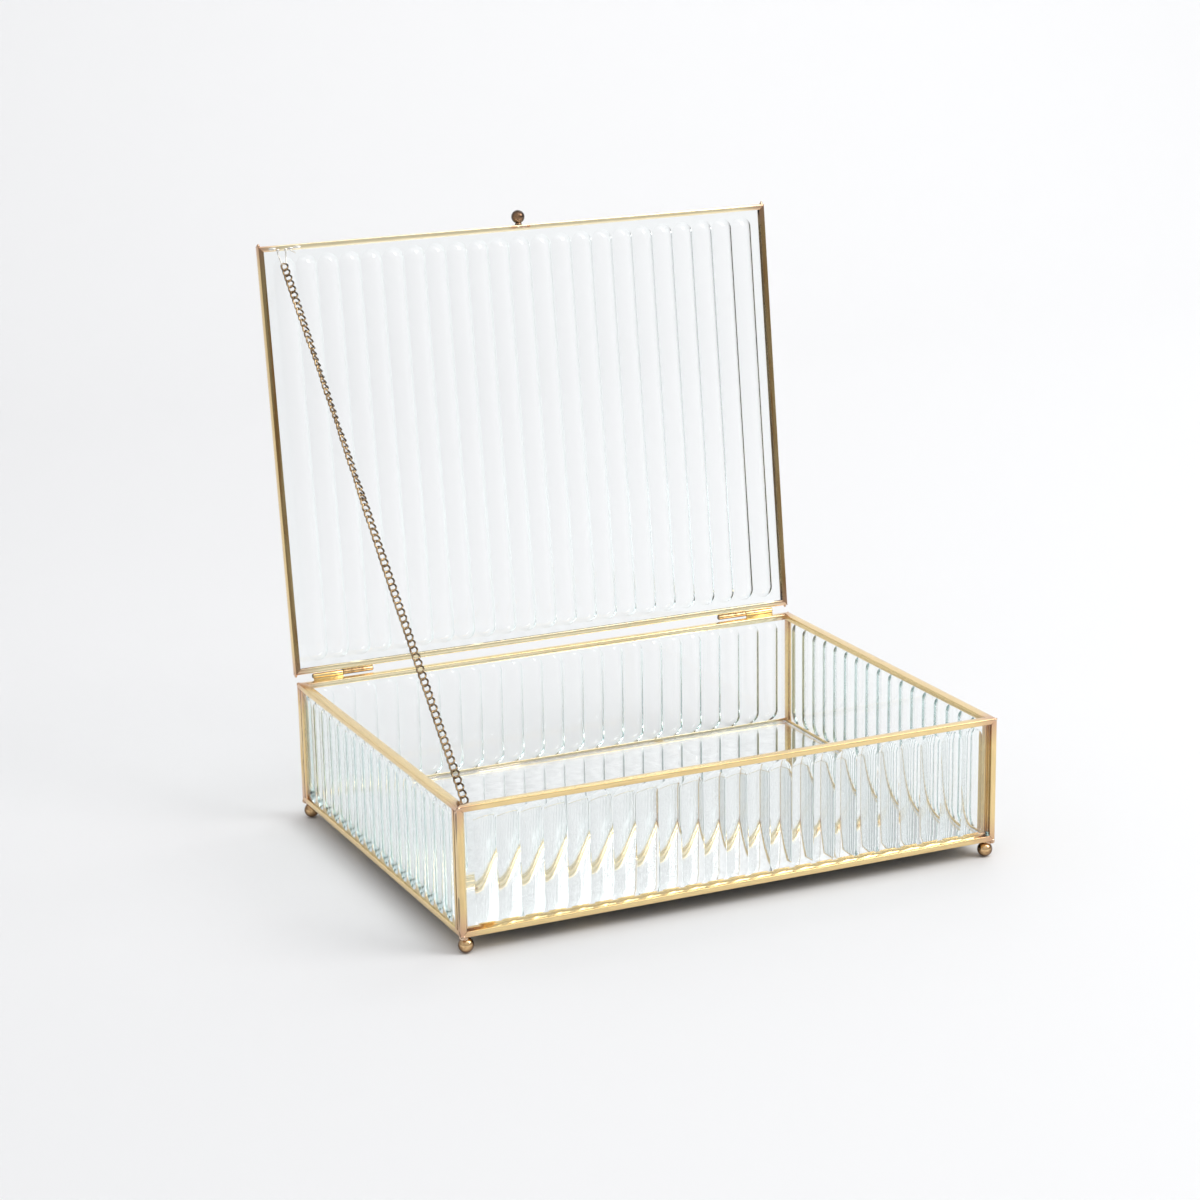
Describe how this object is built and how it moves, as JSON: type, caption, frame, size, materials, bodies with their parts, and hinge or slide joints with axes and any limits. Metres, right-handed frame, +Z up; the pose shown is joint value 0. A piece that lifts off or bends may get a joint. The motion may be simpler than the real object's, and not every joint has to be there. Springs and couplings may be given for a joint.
{
  "type": "glass casket box",
  "caption": "Low box of fluted glass in a brass strip frame, with a mirror floor, ball feet and a hinged glass lid held open by a fine chain.",
  "frame": {"origin": "centre of the base frame's underside, at the face of the mirror's backing sheet; the ball feet reach 9 mm below it", "axes": "+X along the front from left to right, +Y from the front to the hinged back, +Z up"},
  "size_m": [0.3006, 0.2655, 0.316],
  "materials": {
    "brass": "satin, lightly tarnished",
    "aged_brass": "darkened by tarnish",
    "glass": "clear, fluted on its outer face",
    "mirror": "polished",
    "backing": "matt"
  },
  "bodies": {
    "base": {"front_glass": "glass", "back_glass": "glass", "left_glass": "glass", "right_glass": "glass", "mirror_floor": "mirror", "mirror_backing": "backing", "post_front_left": "brass", "post_front_right": "brass", "post_back_left": "brass", "post_back_right": "brass", "top_rail_front": "brass", "top_rail_back": "brass", "top_rail_left": "brass", "top_rail_right": "brass", "bottom_rail_front": "brass", "bottom_rail_back": "brass", "bottom_rail_left": "brass", "bottom_rail_right": "brass", "foot_front_left": "brass", "foot_front_right": "brass", "foot_back_left": "brass", "foot_back_right": "brass", "base_hinge_tube_left": "brass", "base_hinge_tube_right": "brass", "hinge_pin_left": "aged_brass", "hinge_pin_right": "aged_brass", "foot_eye": "aged_brass"},
    "lid": {"lid_glass": "glass", "lid_rail_front": "brass", "lid_rail_back": "brass", "lid_rail_left": "brass", "lid_rail_right": "brass", "lid_knob": "brass", "lid_hinge_tube_left": "brass", "lid_hinge_tube_right": "brass", "head_eye": "aged_brass"},
    "chain_foot": {"chain_foot_links": "aged_brass"},
    "chain_lower": {"chain_lower_links": "aged_brass"},
    "chain_head": {"chain_head_links": "aged_brass"},
    "chain_upper": {"chain_upper_links": "aged_brass"}
  },
  "joints": [
    {"name": "lid_hinge", "type": "hinge", "parent": "base", "child": "lid", "pos_m": [0, 0.1169, 0.0689], "axis": [1, 0, 0], "range_deg": [0, 97]},
    {"name": "chain_foot_swing", "type": "hinge", "parent": "base", "child": "chain_foot", "pos_m": [-0.1422, -0.1062, 0.0655], "axis": [1, 0, 0], "range_deg": [-134, 0]},
    {"name": "chain_lower_swing", "type": "hinge", "parent": "chain_foot", "child": "chain_lower", "pos_m": [-0.14141, -0.06707, 0.10099], "axis": [1, 0, 0], "range_deg": [0, 89]},
    {"name": "chain_head_swing", "type": "hinge", "parent": "lid", "child": "chain_head", "pos_m": [-0.1372, 0.14064, 0.28935], "axis": [1, 0, 0], "range_deg": [-44, 0]},
    {"name": "chain_upper_swing", "type": "hinge", "parent": "chain_head", "child": "chain_upper", "pos_m": [-0.13777, 0.11268, 0.26399], "axis": [1, 0, 0], "range_deg": [0, 78]}
  ],
  "couplings": [
    {"joint": "chain_foot_swing", "follows": "lid_hinge", "ratio": -1.3732},
    {"joint": "chain_lower_swing", "follows": "lid_hinge", "ratio": 0.90722},
    {"joint": "chain_head_swing", "follows": "lid_hinge", "ratio": -0.44539},
    {"joint": "chain_upper_swing", "follows": "lid_hinge", "ratio": 0.79897}
  ]
}
